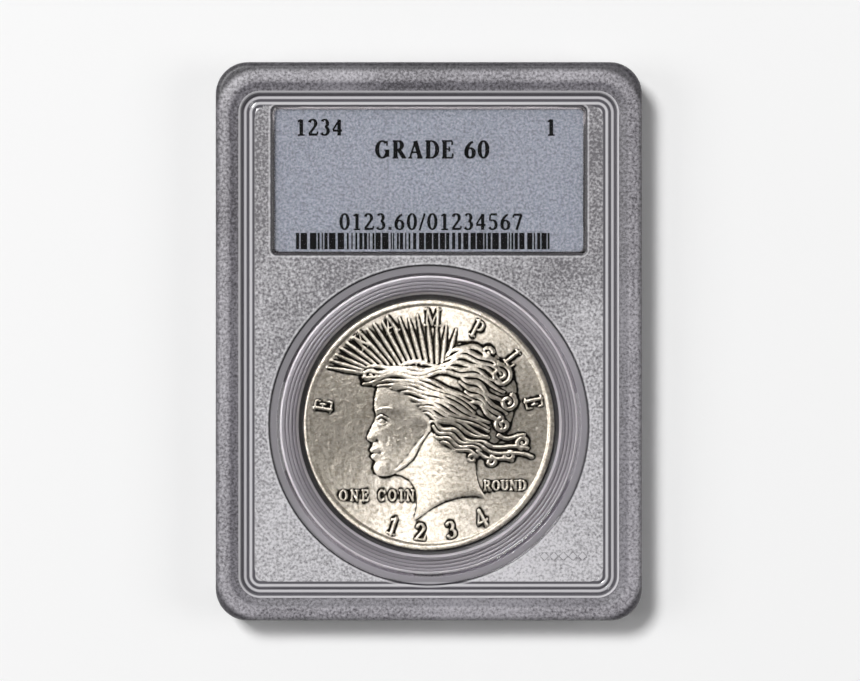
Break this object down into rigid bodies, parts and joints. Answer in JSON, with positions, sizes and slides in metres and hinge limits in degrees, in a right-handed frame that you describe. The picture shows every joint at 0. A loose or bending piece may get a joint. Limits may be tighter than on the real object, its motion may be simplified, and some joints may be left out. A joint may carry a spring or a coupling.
{
  "type": "graded coin slab",
  "caption": "Sealed clear plastic holder with a raised rim, a round window over a large silver coin and a printed grade label above it.",
  "frame": {"origin": "middle of the slab's outline, on the surface it rests on when it lies on its back", "axes": "+Z out of the front, through the coin's obverse; +Y towards the label end; +X to the right seen from the front"},
  "size_m": [0.0644, 0.0844, 0.0076],
  "materials": {
    "front_shell": "clear polystyrene, polished over the coin and the label, fine texture on the rim and the panel",
    "rear_shell": "clear polystyrene, polished over the coin and the label, fine texture on the rim and the panel",
    "weld_bead": "cloudy, melted and set again",
    "coin_gasket": "clear, slightly grey",
    "coin": "struck silver with a warm lustre",
    "grade_label": "matt blue-grey card with black print",
    "hologram_seal": "bright diffractive foil"
  },
  "bodies": {
    "case": {"front_shell": "front_shell", "rear_shell": "rear_shell", "weld_bead": "weld_bead", "coin_gasket": "coin_gasket", "grade_label": "grade_label", "hologram_seal": "hologram_seal"},
    "coin": {"coin": "coin"}
  },
  "joints": [
    {"name": "coin_turn", "type": "hinge", "parent": "case", "child": "coin", "pos_m": [0, -0.01265, 0.00395], "axis": [0, 0, 1], "continuous": true}
  ]
}
